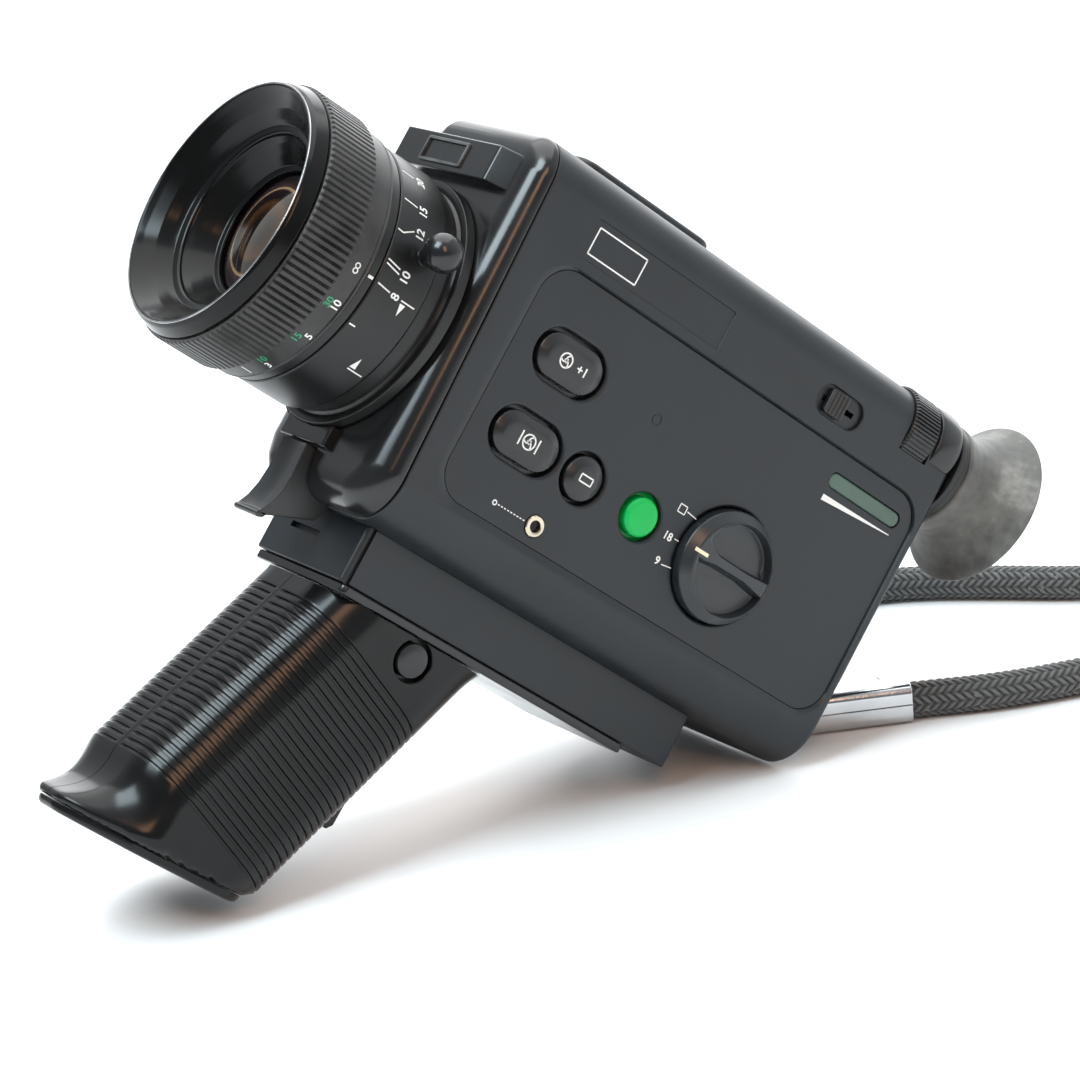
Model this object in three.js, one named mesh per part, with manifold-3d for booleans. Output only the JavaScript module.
// A hand-held Super 8 cine camera with a pistol grip, resting on the heel of its grip and the rear
// edge of its body. Millimetres. The camera is modelled upright in its own frame, with x to the
// rear, y to the film-door side and z up, and x = 0 at the front edge of the control panel, y = 0 on
// the lens axis and z = 0 at the bottom of the side wall. The whole camera is then tilted nose-up
// about y until the heel and the rear edge both touch the floor, z = 0.
import * as THREE from "three";
import { mergeVertices } from "three/addons/utils/BufferGeometryUtils.js";
import Module from "manifold-3d";

const wasm = await Module();
wasm.setup();

// ---------------------------------------------------------------------------- driving dimensions

const gap = 0.3; // clearance between neighbouring pieces
const wall = 2.6; // thickness of the casing walls

const bodyFront = -12.5;
const bodyRear = 113;
const bodyTop = 72;
const bodyBottom = -10;
const halfWidth = 27.7;
const bottomHalfWidth = 18;
const sideBottom = 0.5; // where the flat side starts to curve under
const topEdgeRadius = 8;
const frontEdgeRadius = 6.5;
const frontSeam = -7; // joint between the front housing and the two side shells

const lensHeight = 29.6; // height of the lens axis
const rimRadius = 26; // 52 mm across the front rim
const focusRadius = 28;
const zoomRadius = 26.4;
const lensFront = -54.7;
const focusFront = -50.8;
const ribsEnd = -39.3;
const flangeRadius = 27;
const flank = { front: 13, slope: 1.44, bossRadius: 28.5 }; // the far flank of the front, drawn back
const indexFront = -33.8;
const zoomFront = -31.7;
const zoomRear = -16.6;
const lever = { x: -23.4, angle: THREE.MathUtils.degToRad(19.5), reach: 31.8, ball: 3.5 };

const filmPlane = 39.8;
const cartridgeLength = 70.6;
const cartridgeHeight = 66;
const cartridgeLow = -9.5; // y of the cartridge's near face
const cartridgeHigh = 14;

// The plate that holds the film gate stands across the body in front of the cartridge.
const gate = { front: 36.2, rear: 38.6 };
const clawSlot = { low: lensHeight - 4.2, high: lensHeight + 3.6 };

// The motor's pinion drives the gear on the shutter's shaft.
const shutterAxis = { y: 0, z: 13 };
const gearModule = 0.6;
const shutterTeeth = 30;
const pinionTeeth = 10;
const gearSpacing = (gearModule * (shutterTeeth + pinionTeeth)) / 2 + 0.15;
const motorHeight = shutterAxis.z - gearSpacing;

const eyepieceY = -16.5;
const eyepieceHeight = 61;
const cupRadius = 18.3;
const cupEnd = 132.4;
const tubeRadius = 6.2;

// The hinge pin of the trigger lies across the bottom of the front housing.
const triggerPivot = { x: -5.2, z: -4 };
const triggerHalfWidth = 4.65;

const footHalfWidth = 17;
const footFront = -1.2;
const footRear = 90;
const footBottom = -22;

const gripLean = THREE.MathUtils.degToRad(20.5);
const gripCentre = new THREE.Vector3(11.1, 0, -50); // a point on the grip's leaning axis
const gripHalfDepth = 20;
const gripHalfWidth = 18.5;
const gripCorner = 12;
const gripBase = -84.4; // underside of the two grip halves
const coverBottom = -86.4; // underside of the base cover
const toeFront = -27.5;
const heelBack = 19.4;
const heel = { x: heelBack - 0.2, z: coverBottom }; // the corner that the camera rests on
const gripButton = { x: 21.6, z: -28.6, radius: 3.6, top: -18.7, bottom: -17.4 };

// Four AA cells stand in two rows in the grip.
const cell = { radius: 7.1, length: 50 };
const cellRows = [
  { u: -7.5, low: -32.6 },
  { u: 7.5, low: -26.9 },
];

const panel = { front: 1, rear: 110.5, low: 1.6, high: 52.2, radius: 7 };
const pocketFloor = -halfWidth + 1.5;
const panelFace = -halfWidth + 0.6;
const capsules = [
  { name: "exposure_plus_button", x: 15.6, z: 36.3 },
  { name: "exposure_lock_button", x: 15.0, z: 18.9 },
];
const rounds = [
  { name: "battery_test_button", x: 31.0, z: 18.6, radius: 5.0 },
  { name: "green_run_button", x: 47.6, z: 18.3, radius: 4.6 },
];
const capsuleHalfLength = 8.7;
const capsuleRadius = 5.1;
const buttonWell = 0.7; // visible ring around each button
const buttonTop = -halfWidth - 0.2;
const flangeOut = -halfWidth + wall + gap; // outer face of the flange that keeps a button in
const dial = { x: 71.2, z: 18.7, radius: 11.8 };
const socket = { x: 26.0, z: 5.6, radius: 2.2 };
const counter = { front: 85.4, rear: 107.0, z: 46.3, height: 3.4 };
const slider = { front: 72.1, rear: 85.4, z: 59.4, halfHeight: 3.2 };
// The dioptre wheel is a drum that runs inside the rounded top edge and stands a little proud of it.
const wheel = {
  front: 97.6,
  rear: 105.2,
  y: -halfWidth + topEdgeRadius,
  z: bodyTop - topEdgeRadius,
  radius: 8.9,
};

// The film door is in the far side and swings on a pin along its front edge.
const door = { front: 30, rear: 110, low: -2, high: 62, radius: 5 };
const hinge = { x: door.front - 1.2, y: halfWidth + 0.6, radius: 1.5 };
const earNotch = 31.3; // the door is cut back to here beside each hinge ear
const earSpots = [door.low + 8.6, door.high - 12];
const earHeight = 3.4;
const latch = { x: 104, z: 30, halfLength: 3, halfHeight: 6 };

// The wrist strap lies on the floor behind the camera: x and y of each point of its middle line.
const cordRadius = 4;
const cordRoute = [
  [80.6, -14.9],
  [87, -18.2],
  [95.4, -22.6],
  [106, -26.6],
  [118, -29.8],
  [136, -34.5],
  [154, -39.5],
  [171, -44],
  [188, -45],
  [203, -38.5],
  [211, -24],
  [208, -8],
  [196, 2.5],
  [178, 8.5],
  [161, 19.6],
  [147.2, 34.4],
  [136, 46],
  [124, 54],
  [110, 56.5],
  [96, 52],
  [84, 41],
  [76.2, 30],
  [70.9, 22.3],
];
const ferrule = { length: 22, width: 9, height: 8.2, z: 4.5 };
const link = { radius: 4.5, wire: 0.9 };
const lug = { x: 115.2, y: -5.2, z: -2.2, radius: 1.4 };

// ------------------------------------------------------------------------------------- finishes

function finish(color, roughness, metalness) {
  return new THREE.MeshStandardMaterial({ color, roughness, metalness });
}

const finishes = {
  casing: () => finish(0x2b2e30, 0.55, 0),
  gloss: () => finish(0x161718, 0.28, 0),
  rubber: () => finish(0x3b3c3b, 0.8, 0),
  button: () => finish(0x141516, 0.4, 0),
  green: () => finish(0x12a552, 0.35, 0),
  anodised: () => finish(0x1b1c1e, 0.42, 0.6),
  glass: () => finish(0x6a4a66, 0.05, 0),
  window: () => finish(0x48584f, 0.3, 0),
  steel: () => finish(0xb9bcbe, 0.3, 1),
  brass: () => finish(0xb08a4a, 0.35, 1),
  cell: () => finish(0xb9832f, 0.4, 0.6),
  board: () => finish(0x2d5d3a, 0.6, 0),
  film: () => finish(0x1c1c1e, 0.5, 0),
  braid: () => finish(0x25272a, 0.9, 0),
};

// --------------------------------------------------------------------------------- solid helpers

// The solid that a closed geometry bounds, with its faces turned outwards.
function solidOf(geometry) {
  const bare = geometry.clone();
  bare.deleteAttribute("normal");
  bare.deleteAttribute("uv");
  const merged = mergeVertices(bare, 1e-4);
  const place = merged.getAttribute("position");
  const corners = merged.index.array;
  const kept = [];
  let volume = 0;
  const [a, b, c] = [new THREE.Vector3(), new THREE.Vector3(), new THREE.Vector3()];
  for (let i = 0; i < corners.length; i += 3) {
    const [p, q, r] = corners.slice(i, i + 3);
    if (p === q || q === r || r === p) continue;
    kept.push([p, q, r]);
    a.fromBufferAttribute(place, p);
    b.fromBufferAttribute(place, q);
    c.fromBufferAttribute(place, r);
    volume += a.dot(b.cross(c));
  }
  const triVerts = Uint32Array.from(kept.flatMap(([p, q, r]) => (volume < 0 ? [p, r, q] : [p, q, r])));
  return new wasm.Manifold(new wasm.Mesh({ numProp: 3, vertProperties: place.array, triVerts }));
}

function geometryOf(solid) {
  const mesh = solid.getMesh();
  const geometry = new THREE.BufferGeometry();
  geometry.setAttribute("position", new THREE.BufferAttribute(mesh.vertProperties, 3));
  geometry.setIndex(new THREE.BufferAttribute(mesh.triVerts, 1));
  return geometry;
}

const joined = (first, ...others) => others.reduce((sum, next) => sum.add(next), first);
const cut = (first, ...tools) => tools.reduce((left, tool) => left.subtract(tool), first);

function box(x0, x1, y0, y1, z0, z1) {
  const geometry = new THREE.BoxGeometry(x1 - x0, y1 - y0, z1 - z0);
  return solidOf(geometry.translate((x0 + x1) / 2, (y0 + y1) / 2, (z0 + z1) / 2));
}

// A flat outline pulled along one axis: its own u and v run along the other two, in x, y, z order.
const pulls = {
  x: new THREE.Matrix4().makeBasis(
    new THREE.Vector3(0, 1, 0),
    new THREE.Vector3(0, 0, 1),
    new THREE.Vector3(1, 0, 0),
  ),
  y: new THREE.Matrix4().makeBasis(
    new THREE.Vector3(1, 0, 0),
    new THREE.Vector3(0, 0, 1),
    new THREE.Vector3(0, 1, 0),
  ),
  z: new THREE.Matrix4(),
};

function slab(axis, shape, from, to, curveSegments = 3) {
  const options = { depth: to - from, bevelEnabled: false, curveSegments };
  const geometry = new THREE.ExtrudeGeometry(shape, options).translate(0, 0, from);
  return solidOf(geometry.applyMatrix4(pulls[axis]));
}

// A profile of [place along the axis, radius] pairs turned about an axis through a centre.
const turns = {
  x: new THREE.Matrix4().makeRotationZ(-Math.PI / 2),
  y: new THREE.Matrix4(),
  z: new THREE.Matrix4().makeRotationX(Math.PI / 2),
};

function turned(axis, centre, profile, segments = 32) {
  const points = profile.map(([along, radius]) => new THREE.Vector2(radius, along));
  const geometry = new THREE.LatheGeometry(points, segments);
  return solidOf(geometry.applyMatrix4(turns[axis]).translate(...centre));
}

function disc(axis, centre, from, to, radius, segments = 32) {
  return turned(axis, centre, [[from, 0], [from, radius], [to, radius], [to, 0]], segments);
}

function ring(axis, centre, from, to, inner, outer, segments = 32) {
  const profile = [[from, inner], [from, outer], [to, outer], [to, inner], [from, inner]];
  return turned(axis, centre, profile, segments);
}

function outline(points) {
  return new THREE.Shape(points.map(([u, v]) => new THREE.Vector2(u, v)));
}

function roundedRectangle(u0, u1, v0, v1, r) {
  const shape = new THREE.Shape();
  shape.moveTo(u0 + r, v0);
  shape.absarc(u1 - r, v0 + r, r, -Math.PI / 2, 0);
  shape.absarc(u1 - r, v1 - r, r, 0, Math.PI / 2);
  shape.absarc(u0 + r, v1 - r, r, Math.PI / 2, Math.PI);
  shape.absarc(u0 + r, v0 + r, r, Math.PI, 1.5 * Math.PI);
  return shape;
}

function capsule(u, v, halfLength, r) {
  return roundedRectangle(u - halfLength, u + halfLength, v - r, v + r, r - 0.01);
}

// ------------------------------------------------------------------------------- the scene graph

const camera = new THREE.Group();
const lens = new THREE.Group();
lens.position.z = lensHeight;
const eyepiece = new THREE.Group();
eyepiece.position.set(0, eyepieceY, eyepieceHeight);
camera.add(lens, eyepiece);

function piece(name, solid, finishName, group = camera) {
  const mesh = new THREE.Mesh(geometryOf(solid), finishes[finishName]());
  mesh.name = name;
  group.add(mesh);
  return mesh;
}

// ---------------------------------------------------------------------------------------- casing

// The body's cross-section, looking along x, drawn in by an inset.
function bodyOutline(inset) {
  const h = halfWidth - inset;
  const top = bodyTop - inset;
  const bottom = bodyBottom + inset;
  const r = Math.max(topEdgeRadius - inset, 1);
  const underWidth = h - bottomHalfWidth;
  const underHeight = sideBottom - bottom;
  const shape = new THREE.Shape();
  shape.moveTo(-bottomHalfWidth, bottom);
  shape.absellipse(-bottomHalfWidth, sideBottom, underWidth, underHeight, -Math.PI / 2, -Math.PI, true);
  shape.absarc(-h + r, top - r, r, Math.PI, Math.PI / 2, true);
  shape.absarc(h - r, top - r, r, Math.PI / 2, 0, true);
  shape.absellipse(bottomHalfWidth, sideBottom, underWidth, underHeight, 0, -Math.PI / 2, true);
  return shape;
}

// Everything that passes through the near side wall.
function controlOpenings(margin) {
  const through = [-halfWidth - 1, -halfWidth + wall + 1];
  return [
    ...capsules.map(({ x, z }) =>
      slab("y", capsule(x, z, capsuleHalfLength + margin, capsuleRadius + margin), ...through),
    ),
    ...rounds.map(({ x, z, radius }) => disc("y", [x, 0, z], ...through, radius + margin, 24)),
    disc("y", [dial.x, 0, dial.z], ...through, dial.radius + margin, 32),
    disc("y", [socket.x, 0, socket.z], ...through, socket.radius + gap, 16),
    slab("y", capsule(
      (counter.front + counter.rear) / 2,
      counter.z,
      (counter.rear - counter.front) / 2 + gap,
      counter.height / 2 + gap,
    ), ...through),
  ];
}

// Everything outside the front's far flank, apart from a round boss about the lens.
function beyondFlank(depth) {
  const shift = depth * Math.hypot(1, flank.slope);
  const side = (x) => flank.front - shift + flank.slope * (x - bodyFront);
  const [front, rear] = [bodyFront - 5, bodyFront + 15];
  const wedge = slab(
    "z",
    outline([
      [front, side(front)],
      [rear, side(rear)],
      [front, side(rear)],
    ]),
    bodyBottom - 2,
    bodyTop + 2,
  );
  return cut(wedge, disc("x", [0, 0, lensHeight], front - 1, rear + 1, flank.bossRadius - depth, 48));
}

function hollowBody() {
  const outside = slab("x", bodyOutline(0), frontSeam + gap, bodyRear, 3);
  const inside = slab("x", bodyOutline(wall), frontSeam - 1, bodyRear - wall, 3);
  return cut(cut(outside, beyondFlank(0)), cut(inside, beyondFlank(wall)));
}

// Room for the back of the trigger in the floor of the body.
function triggerRelief() {
  return box(frontSeam - 1, -1.6, -5.2, 5.2, bodyBottom - 1, -1);
}

function controlShell() {
  const near = box(frontSeam - 1, bodyRear + 1, -halfWidth - 1, -gap / 2, bodyBottom - 1, bodyTop + 1);
  const pocket = slab(
    "y",
    roundedRectangle(panel.front - 0.8, panel.rear + 0.4, panel.low - 0.8, panel.high + 0.4, panel.radius),
    -halfWidth - 1,
    pocketFloor,
  );
  const sliderSlot = box(
    slider.front + 2,
    slider.rear - 2,
    -halfWidth - 1,
    -halfWidth + wall + 1,
    slider.z - 1.4,
    slider.z + 1.4,
  );
  const sliderPocket = slab(
    "y",
    roundedRectangle(
      slider.front,
      slider.rear,
      slider.z - slider.halfHeight,
      slider.z + slider.halfHeight,
      slider.halfHeight - 0.01,
    ),
    -halfWidth - 1,
    -halfWidth + 0.9,
  );
  const wheelCentre = [0, wheel.y, wheel.z];
  const wheelWindow = disc("x", wheelCentre, wheel.front - gap, wheel.rear + gap, wheel.radius + gap, 32);
  const eyepieceHole = disc(
    "x",
    [0, eyepieceY, eyepieceHeight],
    bodyRear - wall - 1,
    bodyRear + 1,
    tubeRadius + gap,
    24,
  );
  return cut(
    hollowBody().intersect(near),
    pocket,
    ...controlOpenings(buttonWell),
    sliderSlot,
    sliderPocket,
    wheelWindow,
    eyepieceHole,
    triggerRelief(),
  );
}

function doorOutline(margin) {
  return roundedRectangle(
    door.front - margin,
    door.rear + margin,
    door.low - margin,
    door.high + margin,
    door.radius,
  );
}

function filmShell() {
  const far = box(frontSeam - 1, bodyRear + 1, gap / 2, halfWidth + 1, bodyBottom - 1, bodyTop + 1);
  const doorway = slab("y", doorOutline(gap), halfWidth - wall - 1, halfWidth + 1);
  const hingeRelief = box(
    door.front - 3.2,
    door.front + 0.5,
    halfWidth - 1.6,
    halfWidth + 1,
    door.low + 5,
    door.high - 5,
  );
  return cut(hollowBody().intersect(far), doorway, hingeRelief, triggerRelief());
}

function filmDoor() {
  const leaf = slab("y", doorOutline(0), halfWidth - wall, halfWidth);
  const knuckle = disc("z", [hinge.x, hinge.y, 0], door.low + 14, door.high - 14, hinge.radius, 12);
  const arm = box(hinge.x, door.front + 4, halfWidth + 0.05, hinge.y + 0.9, door.low + 14, door.high - 14);
  const pinHole = disc("z", [hinge.x, hinge.y, 0], door.low, door.high, 0.75, 10);
  const latchHole = slab(
    "y",
    roundedRectangle(
      latch.x - latch.halfLength - 2,
      latch.x + latch.halfLength + 2,
      latch.z - latch.halfHeight,
      latch.z + latch.halfHeight,
      1,
    ),
    halfWidth - 1.3,
    halfWidth + 1,
  );
  const latchSlot = box(
    latch.x - 3.6,
    latch.x + 2.2,
    halfWidth - wall - 1,
    halfWidth,
    latch.z - 2.3,
    latch.z + 2.3,
  );
  const notches = earSpots.map((low) =>
    box(door.front - 1, earNotch, halfWidth - wall - 1, halfWidth + 1, low - 0.6, low + earHeight + 0.6),
  );
  return cut(joined(leaf, knuckle, arm), pinHole, latchHole, latchSlot, ...notches);
}

// The latch slides forward to free the door; its foot reaches in through a slot in the door.
function doorLatch() {
  const cap = box(
    latch.x - latch.halfLength + 1.6,
    latch.x + latch.halfLength + 1.6,
    halfWidth - 1.0,
    halfWidth + 0.7,
    latch.z - latch.halfHeight + 0.4,
    latch.z + latch.halfHeight - 0.4,
  );
  const stem = box(
    latch.x - 0.2,
    latch.x + 1.8,
    halfWidth - 3.4,
    halfWidth - 0.9,
    latch.z - 2,
    latch.z + 2,
  );
  return joined(cap, stem);
}

function hingePin() {
  return disc("z", [hinge.x, hinge.y, 0], door.low + 10, door.high - 10, 0.65, 10);
}

// Two ears on the shell that carry the ends of the hinge pin.
function hingeEar(low) {
  const ear = box(hinge.x - 1.4, hinge.x + 1.0, halfWidth - 1.3, hinge.y + 1.3, low, low + earHeight);
  return cut(ear, disc("z", [hinge.x, hinge.y, 0], low - 1, low + 5, 0.8, 10));
}

function frontHousing() {
  const options = {
    depth: 8,
    bevelEnabled: true,
    bevelThickness: 5.2,
    bevelSize: frontEdgeRadius,
    bevelOffset: -frontEdgeRadius,
    bevelSegments: 4,
    curveSegments: 3,
  };
  const geometry = new THREE.ExtrudeGeometry(bodyOutline(0), options);
  geometry.translate(0, 0, bodyFront + 5.2);
  const block = solidOf(geometry.applyMatrix4(pulls.x));
  const front = box(bodyFront - 1, frontSeam, -halfWidth - 1, halfWidth + 1, bodyBottom - 1, bodyTop + 1);
  const inside = cut(slab("x", bodyOutline(4), bodyFront + 2.4, frontSeam + 1), beyondFlank(3));
  const lensHole = disc("x", [0, 0, lensHeight], bodyFront - 1, frontSeam + 1, 21.5, 40);
  const triggerSlot = box(bodyFront - 1, frontSeam + 1, -5.2, 5.2, bodyBottom - 1, -1.0);
  const neck = box(bodyFront - 1.6, bodyFront + 1, -8.6, 8.6, -0.4, 9);
  const flangeSeat = disc("x", [0, 0, lensHeight], bodyFront - 3, bodyFront, flangeRadius + gap, 48);
  const body = cut(block.intersect(front), beyondFlank(0));
  return cut(joined(body, cut(neck, flangeSeat)), inside, lensHole, triggerSlot);
}

// The block across the top of the front, with slanted ends.
function nameplateBlock() {
  const plan = outline([
    [bodyFront - 0.3, -21.2],
    [-16, -17.2],
    [-16, 17.2],
    [bodyFront - 0.3, 21.2],
  ]);
  const block = slab("z", plan, 58.4, 66.2);
  const lens = disc("x", [0, 0, lensHeight], -20, 0, 28.3, 48);
  return cut(block, lens);
}

function topCover() {
  return slab("z", roundedRectangle(7.5, 45, -10, 10, 4), bodyTop + gap, bodyTop + 3.9);
}

function footBlock() {
  const block = slab(
    "z",
    roundedRectangle(footFront, footRear, -footHalfWidth, footHalfWidth, 1.2),
    footBottom,
    bodyBottom - gap,
  );
  const slot = box(footFront - 1, footFront + 1.2, -2, 9, -15.7, -14.5);
  const inside = footHalfWidth - 3;
  const hollow = box(footFront + 8, footRear - 4, -inside, inside, footBottom + 3, 0);
  return cut(block, slot, hollow);
}

function basePlate() {
  const plate = roundedRectangle(footFront + 1, 78, -footHalfWidth - 0.6, footHalfWidth + 0.6, 1.5);
  return slab("z", plate, footBottom - 2, footBottom - gap);
}

// --------------------------------------------------------------------------------------- trigger

function trigger() {
  const profile = new THREE.Shape();
  profile.moveTo(-3.4, -1.9);
  profile.lineTo(-8.4, -1.6);
  profile.lineTo(-15.2, -2.7);
  profile.quadraticCurveTo(-14.6, -12.6, -19.6, -18.4);
  profile.lineTo(-19.2, -19.2);
  profile.quadraticCurveTo(-16.6, -18.6, -14.6, -16.4);
  profile.lineTo(-3.6, -13.4);
  const hole = disc("y", [triggerPivot.x, 0, triggerPivot.z], -6, 6, 1.2, 12);
  return cut(slab("y", profile, -triggerHalfWidth, triggerHalfWidth, 4), hole);
}

function triggerPin() {
  return disc("y", [triggerPivot.x, 0, triggerPivot.z], -8, 8, 1, 12);
}

// ------------------------------------------------------------------------------------------ grip

const gripFrame = new THREE.Matrix4()
  .makeRotationY(gripLean)
  .setPosition(gripCentre);

const inGripFrame = (solid) => solidOf(geometryOf(solid).applyMatrix4(gripFrame));

// The handle's outer form: a rounded oblong along the leaning axis, with a toe that runs forward.
function gripForm() {
  const [h, w] = [gripHalfDepth, gripHalfWidth];
  const handle = inGripFrame(slab("z", roundedRectangle(-h, h, -w, w, gripCorner), -50, 45, 3));
  const heel = new THREE.Shape();
  heel.moveTo(44, -23);
  heel.quadraticCurveTo(33, -27, 30.5, -38);
  heel.lineTo(20, -38);
  heel.lineTo(20, -23);
  const flare = slab("y", heel, -15, 15, 4);
  const toe = toeSolid();
  return joined(handle, flare, toe).intersect(
    box(-60, 60, -gripHalfWidth - 1, gripHalfWidth + 1, gripBase, footBottom - 2 - gap),
  );
}

function toeSolid() {
  const profile = new THREE.Shape();
  profile.moveTo(-18.2, -70);
  profile.quadraticCurveTo(-19, -80, toeFront + 1, gripBase + 0.6);
  profile.lineTo(toeFront + 0.4, gripBase - 1);
  profile.lineTo(0, gripBase - 1);
  profile.lineTo(0, -70);
  const plan = baseOutline(0);
  return slab("y", profile, -12, 12, 5).intersect(slab("z", plan, gripBase - 2, -60, 4));
}

// The base seen from below: round at the heel and drawn out to a blunt beak at the toe.
function baseOutline(inset) {
  const h = gripHalfWidth - inset;
  const back = heelBack - inset;
  const front = toeFront + inset;
  const shape = new THREE.Shape();
  shape.moveTo(front, 3);
  shape.quadraticCurveTo(front + 1, 8, -14, h - 2);
  shape.quadraticCurveTo(-10, h, -4, h);
  shape.lineTo(back - gripCorner, h);
  shape.absarc(back - gripCorner, h - gripCorner, gripCorner, Math.PI / 2, 0, true);
  shape.absarc(back - gripCorner, -h + gripCorner, gripCorner, 0, -Math.PI / 2, true);
  shape.lineTo(-4, -h);
  shape.quadraticCurveTo(-10, -h, -14, -h + 2);
  shape.quadraticCurveTo(front + 1, -8, front, -3);
  return shape;
}

function batteryHollow() {
  return inGripFrame(box(-15.4, 15.4, -15.4, 15.4, -60, 60)).intersect(
    box(-60, 60, -20, 20, gripBase - 5, footBottom - 4.6),
  );
}

function gripHalf(side) {
  const low = side < 0 ? -40 : gap / 2;
  const half = gripForm().intersect(box(-60, 60, low, low + 40 - gap / 2, -100, 0));
  const hollowed = cut(half, batteryHollow());
  if (side > 0) return hollowed;
  const centre = [gripButton.x, 0, gripButton.z];
  return cut(hollowed, disc("y", centre, -20, -gripHalfWidth + 2.2, gripButton.radius + 0.8, 20));
}

function baseCover() {
  return slab("z", baseOutline(0.2), coverBottom, gripBase - gap, 4);
}

function gripLatch() {
  const fin = new THREE.Shape();
  fin.moveTo(0, 15);
  fin.lineTo(6.8, -5);
  fin.lineTo(6.2, -6.6);
  fin.lineTo(0, -8);
  return inGripFrame(
    solidOf(geometryOf(slab("y", fin, -2.2, 2.2)).translate(gripHalfDepth + gap, 0, 0)),
  );
}

function batteryCell(u, y, low) {
  const profile = [
    [low, 0],
    [low, cell.radius],
    [low + cell.length - 1.4, cell.radius],
    [low + cell.length - 1.4, 2.6],
    [low + cell.length, 2.6],
    [low + cell.length, 0],
  ];
  return inGripFrame(turned("z", [u, y, 0], profile, 16));
}

// ------------------------------------------------------------------------------------------ lens

const onAxis = [0, 0, 0];

function focusRing() {
  const profile = [
    [focusFront, 24.6],
    [focusFront, focusRadius],
    [ribsEnd, focusRadius],
    [ribsEnd, 27],
    [indexFront - gap, 27],
    [indexFront - gap, 23.6],
    [-40, 23.6],
    [-40, 24.6],
    [focusFront, 24.6],
  ];
  return turned("x", onAxis, profile, 36);
}

// The hood screws into the focusing ring and narrows in steps to the front glass.
function frontHood() {
  const profile = [
    [lensFront, 24.9],
    [lensFront, rimRadius],
    [focusFront - gap, 27.4],
    [focusFront - gap, 24.2],
    [-42, 24.2],
    [-42, 15.4],
    [-45.6, 15.4],
    [-46.4, 17.4],
    [-49.6, 18.6],
    [-49.6, 20.6],
    [-52.6, 22.2],
    [lensFront, 24.9],
  ];
  return turned("x", onAxis, profile, 36);
}

function frontLens() {
  const profile = [
    [-47.8, 0],
    [-47.3, 6],
    [-45.9, 11],
    [-44.2, 15],
    [-42.2, 15],
    [-42.2, 0],
  ];
  return turned("x", onAxis, profile, 24);
}

function zoomRing() {
  const profile = [
    [zoomFront, 22.6],
    [zoomFront, zoomRadius],
    [-19.5, zoomRadius],
    [-19.5, 25.2],
    [zoomRear, 25.2],
    [zoomRear, 22.6],
    [zoomFront, 22.6],
  ];
  return turned("x", onAxis, profile, 36);
}

function zoomLever() {
  const stem = new THREE.CylinderGeometry(1.5, 1.9, 4, 12);
  stem.translate(0, zoomRadius + gap + 2, 0);
  const ball = new THREE.SphereGeometry(lever.ball, 12, 8);
  ball.translate(0, lever.reach, 0);
  return joined(solidOf(stem), solidOf(ball));
}

function indexRing() {
  return ring("x", onAxis, indexFront, zoomFront - gap, 22.6, zoomRadius, 36);
}

// The fixed barrel that carries the rings, and its flange on the front housing.
function lensBarrel() {
  const profile = [
    [-41.4, 16],
    [-41.4, 22.3],
    [zoomRear + gap, 22.3],
    [zoomRear + gap, 24.4],
    [bodyFront - 2.6, 24.4],
    [bodyFront - 2.6, flangeRadius],
    [bodyFront - gap, flangeRadius],
    [bodyFront - gap, 21.2],
    [-8, 21.2],
    [-8, 19],
    [24, 19],
    [24, 17],
    [-10, 17],
    [-41.4, 16],
  ];
  return turned("x", onAxis, profile, 28);
}

function lensElement(from, to, radius, bulge) {
  const profile = [[from - bulge, 0], [from, radius * 0.6], [from + bulge, radius], [to, radius], [to, 0]];
  return turned("x", onAxis, profile, 24);
}

// ---------------------------------------------------------------------- near-side controls

function controlPanel() {
  const plate = slab(
    "y",
    roundedRectangle(panel.front, panel.rear, panel.low, panel.high, panel.radius - 0.5),
    panelFace,
    pocketFloor - gap,
  );
  return cut(plate, ...controlOpenings(buttonWell));
}

function capsuleButton(x, z) {
  return joined(
    slab("y", capsule(x, z, capsuleHalfLength, capsuleRadius), buttonTop, flangeOut + 0.1),
    slab("y", capsule(x, z, capsuleHalfLength + 1, capsuleRadius + 1), flangeOut, flangeOut + 0.9),
    disc("y", [x, 0, z], flangeOut + 0.8, flangeOut + 2, 1.5, 12),
  );
}

function roundButton(x, z, radius) {
  return turned(
    "y",
    [x, 0, z],
    [
      [buttonTop - 0.4, 0],
      [buttonTop - 0.2, radius * 0.7],
      [buttonTop + 0.3, radius],
      [flangeOut, radius],
      [flangeOut, radius + 1],
      [flangeOut + 0.9, radius + 1],
      [flangeOut + 0.9, 1.5],
      [flangeOut + 2, 1.5],
      [flangeOut + 2, 0],
    ],
    24,
  );
}

function speedDial() {
  const base = turned(
    "y",
    [dial.x, 0, dial.z],
    [
      [-halfWidth - 1.4, 0],
      [-halfWidth - 1.4, dial.radius - 0.6],
      [-halfWidth - 0.8, dial.radius],
      [flangeOut, dial.radius],
      [flangeOut, dial.radius + 1.6],
      [flangeOut + 0.9, dial.radius + 1.6],
      [flangeOut + 0.9, 2],
      [-21.7, 2],
      [-21.7, 0],
    ],
    32,
  );
  const bar = box(
    dial.x - dial.radius + 1.4,
    dial.x + dial.radius - 1.4,
    -halfWidth - 3.4,
    -halfWidth - 1.3,
    dial.z - 1.5,
    dial.z + 1.5,
  );
  return joined(base, bar);
}

function releaseSocket() {
  const profile = [
    [-halfWidth - 0.1, 1.3],
    [-halfWidth - 0.1, socket.radius],
    [-halfWidth + 4, socket.radius],
    [-halfWidth + 4, 0],
    [-halfWidth + 3, 0],
    [-halfWidth + 3, 1.3],
    [-halfWidth - 0.1, 1.3],
  ];
  return turned("y", [socket.x, 0, socket.z], profile, 16);
}

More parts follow.
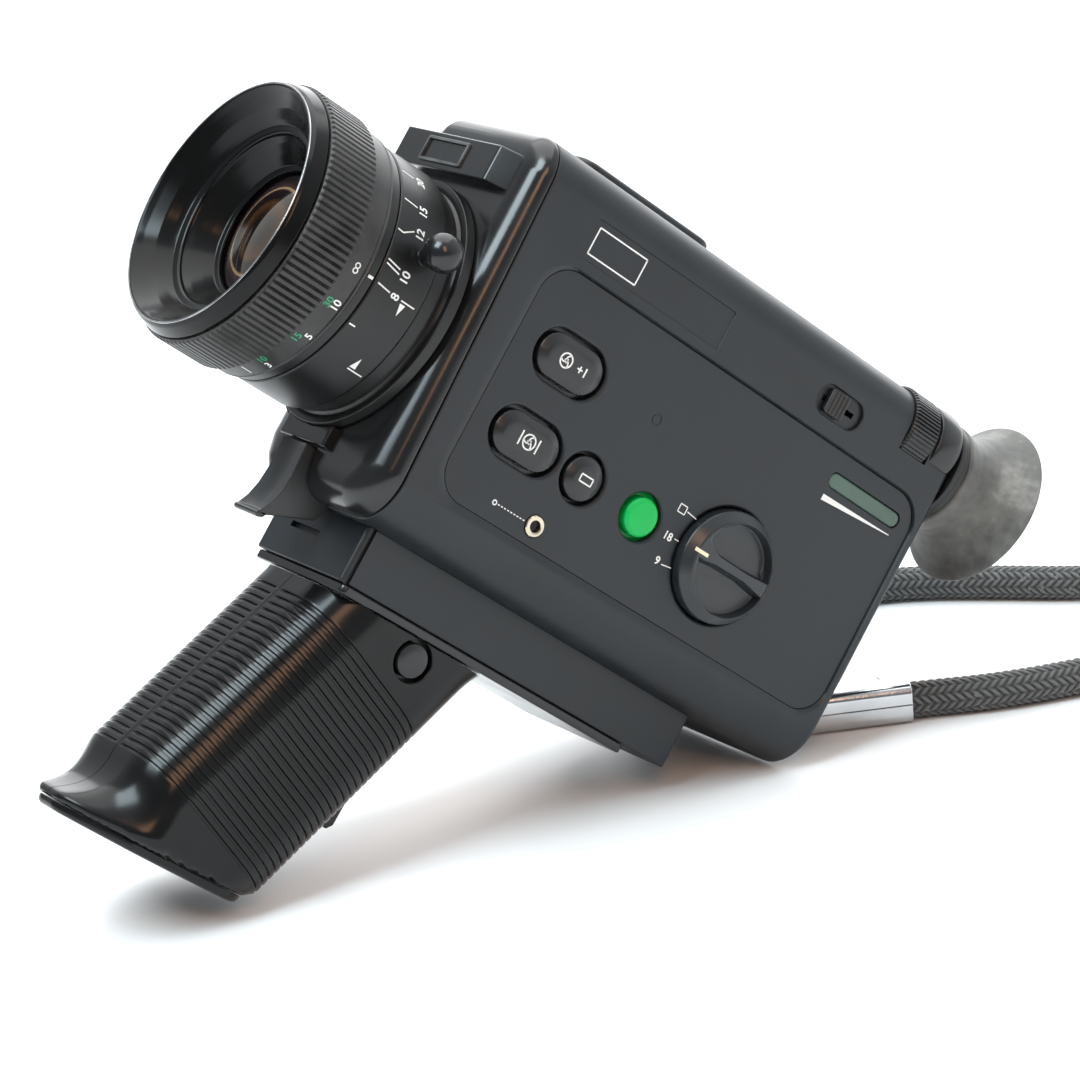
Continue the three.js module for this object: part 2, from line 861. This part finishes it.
function counterWindow() {
  const middle = (counter.front + counter.rear) / 2;
  const pane = capsule(middle, counter.z, (counter.rear - counter.front) / 2, counter.height / 2);
  return slab("y", pane, -halfWidth + 0.9, -halfWidth + wall);
}

function slideSwitch() {
  const x = slider.front + 5.4;
  return joined(
    box(x - 2.6, x + 2.6, -halfWidth - 0.6, -halfWidth + 0.6, slider.z - 2.6, slider.z + 2.6),
    box(x - 1.4, x + 1.4, -halfWidth + 0.5, -halfWidth + wall + 1, slider.z - 1, slider.z + 1),
  );
}

// ------------------------------------------------------------------------------------- eyepiece

function dioptreWheel() {
  return ring("x", [0, wheel.y, wheel.z], wheel.front, wheel.rear, 7.4, wheel.radius, 40);
}

function viewfinderTube() {
  return ring("x", onAxis, 28, wheel.front - 1, 3.4, 5, 20);
}

function eyepieceTube() {
  return ring("x", onAxis, wheel.rear + 1, bodyRear + 4, 5, tubeRadius, 24);
}

function eyepieceCollar() {
  return ring("x", onAxis, bodyRear + gap, bodyRear + 3.4, tubeRadius + gap, 12.2, 32);
}

function eyecup() {
  const profile = [
    [bodyRear + 3.8, tubeRadius + gap],
    [bodyRear + 3.8, 11.4],
    [bodyRear + 8, 11],
    [bodyRear + 12, 11.8],
    [bodyRear + 17, 14.6],
    [cupEnd, cupRadius],
    [cupEnd, cupRadius - 1.4],
    [bodyRear + 18, 13.4],
    [bodyRear + 13, 10.2],
    [bodyRear + 9, tubeRadius + gap],
    [bodyRear + 3.8, tubeRadius + gap],
  ];
  return turned("x", onAxis, profile, 32);
}

function eyepieceLens() {
  const profile = [[108, 0], [108, 4.7], [110, 4.7], [110.8, 3], [111.2, 0]];
  return turned("x", onAxis, profile, 20);
}

// ------------------------------------------------------------------------- film path and drive

function filmCartridge() {
  const low = lensHeight - cartridgeHeight / 2 - 0.6;
  const shape = roundedRectangle(filmPlane, filmPlane + cartridgeLength, low, low + cartridgeHeight, 4);
  const coreHole = disc("y", [filmPlane + 36, 0, lensHeight], cartridgeLow - 1, cartridgeLow + 5, 5.2, 20);
  return cut(slab("y", shape, cartridgeLow, cartridgeHigh), coreHole);
}

function filmGate() {
  const plate = box(gate.front, gate.rear, -18.6, 22, -6, 55);
  const aperture = box(gate.front - 1, gate.rear + 1, -2.9, 2.9, lensHeight - 2.1, lensHeight + 2.1);
  const slot = box(gate.front - 1, gate.rear + 1, -6.4, -4.4, clawSlot.low, clawSlot.high);
  const bearing = disc("x", [0, shutterAxis.y, shutterAxis.z], gate.front - 1, gate.rear + 1, 1.7, 16);
  return cut(plate, aperture, slot, bearing);
}

function claw() {
  return joined(
    box(34.2, 35.6, -6, -4.8, lensHeight - 2, lensHeight + 16),
    box(35.5, filmPlane - 0.5, -6, -4.8, lensHeight + 0.6, lensHeight + 1.6),
  );
}

// A spur gear's outline with straight-sided teeth, turned by a phase in tooth pitches.
function gearOutline(teeth, module, phase) {
  const points = [];
  const tip = (teeth * module) / 2 + 0.8 * module;
  const root = (teeth * module) / 2 - 1.1 * module;
  for (let tooth = 0; tooth < teeth; tooth += 1) {
    for (const [share, radius] of [[-0.26, root], [-0.1, tip], [0.1, tip], [0.26, root]]) {
      const angle = ((tooth + share + phase) * 2 * Math.PI) / teeth;
      points.push([radius * Math.cos(angle), radius * Math.sin(angle)]);
    }
  }
  return outline(points);
}

function centredOn(solid, y, z) {
  return solidOf(geometryOf(solid).translate(0, y, z));
}

// The shutter's blade, its shaft and its gear turn as one.
function shutter() {
  const blade = new THREE.Shape();
  blade.absarc(0, 0, 19.4, THREE.MathUtils.degToRad(-160), THREE.MathUtils.degToRad(-20), false);
  blade.lineTo(0, 0);
  const parts = joined(
    slab("x", blade, 32.4, 33.0, 8),
    disc("x", onAxis, 32.2, 33.2, 5, 20),
    disc("x", onAxis, 27.2, gate.rear - 0.2, 1.5, 16),
    slab("x", gearOutline(shutterTeeth, gearModule, 0), 28.4, 31),
  );
  return centredOn(parts, shutterAxis.y, shutterAxis.z);
}

function motor() {
  const can = centredOn(disc("x", onAxis, 2, 26, 6.6, 24), 0, motorHeight);
  const boss = centredOn(disc("x", onAxis, 25.9, 26.8, 2.6, 16), 0, motorHeight);
  const bore = centredOn(disc("x", onAxis, 22, 28, 1.0, 12), 0, motorHeight);
  return cut(joined(can, boss), bore);
}

// The pinion sits right below the shutter gear, turned half a tooth so that the teeth mesh.
function motorPinion() {
  const parts = joined(
    slab("x", gearOutline(pinionTeeth, gearModule, 0.5), 28.4, 31),
    disc("x", onAxis, 22.6, 28.5, 0.8, 12),
  );
  return centredOn(parts, 0, motorHeight);
}

function takeUpSpindle() {
  const [x, z] = [filmPlane + 36, lensHeight];
  return joined(
    disc("y", [x, 0, z], cartridgeLow - 3.6, cartridgeLow - 1, 9, 24),
    disc("y", [x, 0, z], -18.6, cartridgeLow + 3.6, 2, 12),
    box(x - 4, x + 4, cartridgeLow - 1.1, cartridgeLow + 3, z - 0.8, z + 0.8),
  );
}

function circuitBoard() {
  return box(6, 96, -21.4, -20.2, -2, 50);
}

// ---------------------------------------------------------------------------------- wrist strap

// The eye on the rear of the body that the strap's link passes through.
function strapLug() {
  const plate = box(bodyRear + gap, lug.x + 2.4, lug.y - 1.3, lug.y + 1.3, lug.z - 2.6, lug.z + 2.6);
  return cut(plate, disc("y", [lug.x, 0, lug.z], lug.y - 2, lug.y + 2, lug.radius, 12));
}

function strapLink() {
  return solidOf(new THREE.TorusGeometry(link.radius, link.wire, 8, 20));
}

// Lies along +x from the link's centre, with its eye round the link.
function strapFerrule() {
  const start = link.radius + 2.4;
  const body = slab(
    "x",
    roundedRectangle(-ferrule.width / 2, ferrule.width / 2, -ferrule.height / 2, ferrule.height / 2, 1.6),
    start,
    start + ferrule.length,
    2,
  );
  const eye = box(link.radius - 2, start + 0.5, -1.2, 1.2, -2.2, 2.2);
  return cut(joined(body, eye), disc("y", [link.radius, 0, 0], -3, 3, 1.3, 12));
}

function strapCord() {
  const middleLine = cordRoute.map(([x, y]) => new THREE.Vector3(x, y, cordRadius));
  const extrudePath = new THREE.CatmullRomCurve3(middleLine);
  const section = new THREE.Shape();
  const sides = 10;
  for (let side = 0; side < sides; side += 1) {
    const angle = (side * 2 * Math.PI) / sides;
    const point = [cordRadius * Math.cos(angle), cordRadius * Math.sin(angle)];
    if (side === 0) section.moveTo(...point);
    else section.lineTo(...point);
  }
  return solidOf(new THREE.ExtrudeGeometry(section, { steps: 30, bevelEnabled: false, extrudePath }));
}

// ----------------------------------------------------------------------------------- assembling

piece("control_shell", controlShell(), "casing");
piece("film_shell", filmShell(), "casing");
piece("film_door", filmDoor(), "casing");
piece("door_hinge_pin", hingePin(), "steel");
piece("door_hinge_ear_low", hingeEar(earSpots[0]), "casing");
piece("door_hinge_ear_high", hingeEar(earSpots[1]), "casing");
piece("door_latch", doorLatch(), "button");
piece("front_housing", frontHousing(), "gloss");
piece("nameplate_block", nameplateBlock(), "gloss");
piece("top_cover", topCover(), "casing");
piece("foot_block", footBlock(), "casing");
piece("base_plate", basePlate(), "gloss");

piece("trigger", trigger(), "button");
piece("trigger_pin", triggerPin(), "steel");

piece("grip_near_half", gripHalf(-1), "gloss");
piece("grip_far_half", gripHalf(1), "gloss");
piece("grip_base_cover", baseCover(), "gloss");
piece("grip_latch", gripLatch(), "gloss");
piece(
  "grip_button",
  disc("y", [gripButton.x, 0, gripButton.z], gripButton.top, gripButton.bottom, gripButton.radius, 20),
  "button",
);
cellRows.forEach(({ u, low }, row) => {
  [-7.5, 7.5].forEach((y, column) => {
    piece(`battery_cell_${row * 2 + column + 1}`, batteryCell(u, y, low), "cell");
  });
});

piece("front_hood", frontHood(), "anodised", lens);
piece("front_lens", frontLens(), "glass", lens);
piece("focus_ring", focusRing(), "rubber", lens);
piece("index_ring", indexRing(), "anodised", lens);
piece("zoom_ring", zoomRing(), "anodised", lens);
const leverMesh = piece("zoom_lever", zoomLever(), "gloss", lens);
leverMesh.position.x = lever.x;
leverMesh.rotation.x = Math.PI - lever.angle;
piece("lens_barrel", lensBarrel(), "anodised", lens);
piece("variator_lens", lensElement(-26, -20, 14, 1.2), "glass", lens);
piece("relay_lens", lensElement(14, 19, 13, 1.2), "glass", lens);

piece("control_panel", controlPanel(), "casing");
for (const { name, x, z } of capsules) piece(name, capsuleButton(x, z), "button");
for (const { name, x, z, radius } of rounds) {
  piece(name, roundButton(x, z, radius), name.startsWith("green") ? "green" : "button");
}
piece("speed_dial", speedDial(), "button");
piece("release_socket", releaseSocket(), "brass");
piece("counter_window", counterWindow(), "window");
piece("slide_switch", slideSwitch(), "button");

piece("dioptre_wheel", dioptreWheel(), "button");
piece("viewfinder_tube", viewfinderTube(), "anodised", eyepiece);
piece("eyepiece_tube", eyepieceTube(), "anodised", eyepiece);
piece("eyepiece_collar", eyepieceCollar(), "anodised", eyepiece);
piece("eyecup", eyecup(), "rubber", eyepiece);
piece("eyepiece_lens", eyepieceLens(), "glass", eyepiece);

piece("film_cartridge", filmCartridge(), "film");
piece("film_gate", filmGate(), "steel");
piece("claw", claw(), "steel");
piece("shutter", shutter(), "steel");
piece("drive_motor", motor(), "steel");
piece("motor_pinion", motorPinion(), "brass");
piece("take_up_spindle", takeUpSpindle(), "button");
piece("circuit_board", circuitBoard(), "board");

// The resting attitude: the heel of the base cover and the rear edge of the body both touch z = 0.
const tilt = Math.atan2(bodyBottom - heel.z, bodyRear - heel.x);
camera.rotation.y = tilt;

const part = new THREE.Group();
part.add(camera);
piece("strap_lug", strapLug(), "steel");
part.updateMatrixWorld(true);
const extent = new THREE.Box3().setFromObject(camera, true);
const middle = extent.getCenter(new THREE.Vector3());
camera.position.set(-middle.x, -middle.y, -extent.min.z);
part.updateMatrixWorld(true);

// A level link joins the strap to the lug, and each ferrule points at its own end of the cord.
const strap = new THREE.Group();
const lugEye = new THREE.Vector3(lug.x, lug.y, lug.z).applyMatrix4(camera.matrixWorld);
strap.position.set(lugEye.x + link.radius, lugEye.y, ferrule.z);
part.add(strap);
piece("strap_link", strapLink(), "steel", strap);
const cordEnds = { near: cordRoute[0], far: cordRoute.at(-1) };
for (const [name, [x, y]] of Object.entries(cordEnds)) {
  const mesh = piece(`strap_ferrule_${name}`, strapFerrule(), "steel", strap);
  mesh.rotation.z = Math.atan2(y - strap.position.y, x - strap.position.x);
}
piece("strap_cord", strapCord(), "braid", part);

export default part;
